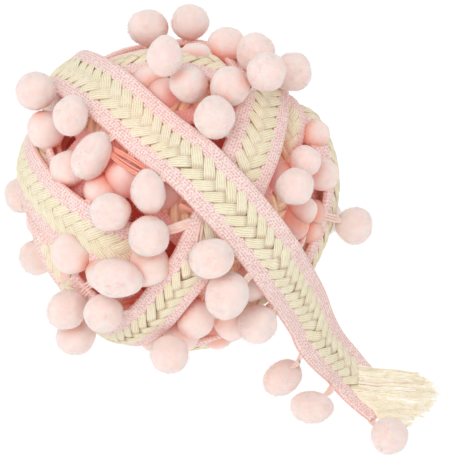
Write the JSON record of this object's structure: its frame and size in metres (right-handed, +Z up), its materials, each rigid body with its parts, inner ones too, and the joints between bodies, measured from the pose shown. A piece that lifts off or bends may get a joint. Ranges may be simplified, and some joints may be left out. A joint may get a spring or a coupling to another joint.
{
  "type": "pompom fringe trim",
  "caption": "Pompom fringe trim: a braided tape with a row of yarn pompoms along one edge, wound into a ball with a loose frayed end.",
  "frame": {"origin": "on the flat spot that the ball rests on, under the ball's middle", "axes": "+Z up; the loose end falls towards +X and -Y, and the ball's crown leans towards -Y"},
  "size_m": [0.1719, 0.1578, 0.1359],
  "materials": {
    "cream_cotton": "soft matt plaited cotton threads",
    "pink_knit": "matt fine braid with small slanting stitches",
    "blush_yarn": "soft cut yarn, slightly fuzzy"
  },
  "bodies": {
    "root": {"wound_ball": "cream_cotton", "loose_plait": "cream_cotton", "frayed_end": "cream_cotton", "loose_edge_plain": "pink_knit", "loose_edge_pompoms": "pink_knit", "loose_cord_1": "blush_yarn", "loose_pompom_1": "blush_yarn", "loose_cord_2": "blush_yarn", "loose_pompom_2": "blush_yarn", "loose_cord_3": "blush_yarn", "loose_pompom_3": "blush_yarn", "pompom_01": "blush_yarn", "pompom_02": "blush_yarn", "pompom_03": "blush_yarn", "pompom_04": "blush_yarn", "pompom_05": "blush_yarn", "pompom_06": "blush_yarn", "pompom_07": "blush_yarn", "pompom_08": "blush_yarn", "pompom_09": "blush_yarn", "pompom_10": "blush_yarn", "pompom_11": "blush_yarn", "pompom_12": "blush_yarn", "pompom_13": "blush_yarn", "pompom_14": "blush_yarn", "pompom_15": "blush_yarn", "pompom_16": "blush_yarn", "pompom_17": "blush_yarn", "pompom_18": "blush_yarn", "pompom_19": "blush_yarn", "pompom_20": "blush_yarn", "pompom_21": "blush_yarn", "pompom_22": "blush_yarn", "pompom_23": "blush_yarn", "pompom_24": "blush_yarn", "pompom_25": "blush_yarn", "pompom_26": "blush_yarn", "pompom_27": "blush_yarn", "pompom_28": "blush_yarn", "pompom_29": "blush_yarn", "pompom_30": "blush_yarn", "pompom_31": "blush_yarn", "pompom_32": "blush_yarn", "pompom_33": "blush_yarn", "pompom_34": "blush_yarn"}
  },
  "joints": []
}
